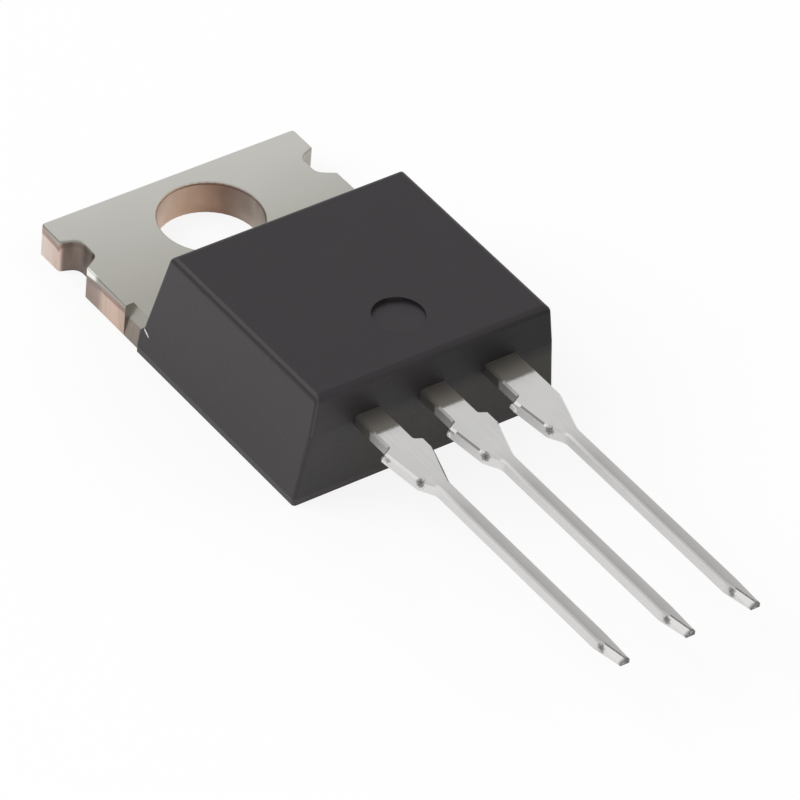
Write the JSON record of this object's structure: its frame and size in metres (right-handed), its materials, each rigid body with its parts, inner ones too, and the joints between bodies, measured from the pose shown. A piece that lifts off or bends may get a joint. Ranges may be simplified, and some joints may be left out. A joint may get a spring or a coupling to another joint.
{
  "type": "power transistor",
  "caption": "Plastic-cased power transistor with a drilled flat metal heat-sink tab at one end and a row of straight tapered solder leads at the other.",
  "frame": {"origin": "centre of the mounting hole in the tab, on the tab's back face, which rests on the heat sink", "axes": "+Z out of the back face towards the case's front face, +Y from the case towards the tab's free end, leads along -Y, base lead at -X"},
  "size_m": [0.0104, 0.0289, 0.0043],
  "materials": {
    "tinned_copper": "satin tin plating over copper, bare copper on the cut edges",
    "epoxy": "fine matt moulded epoxy",
    "silicon": "polished chip",
    "solder": "dull solder",
    "aluminium_wire": "drawn wire"
  },
  "bodies": {
    "root": {"collector_frame": "tinned_copper", "base_lead": "tinned_copper", "emitter_lead": "tinned_copper", "mould_body": "epoxy", "silicon_die": "silicon", "solder_layer": "solder", "base_wire": "aluminium_wire", "emitter_wire": "aluminium_wire"}
  },
  "joints": []
}
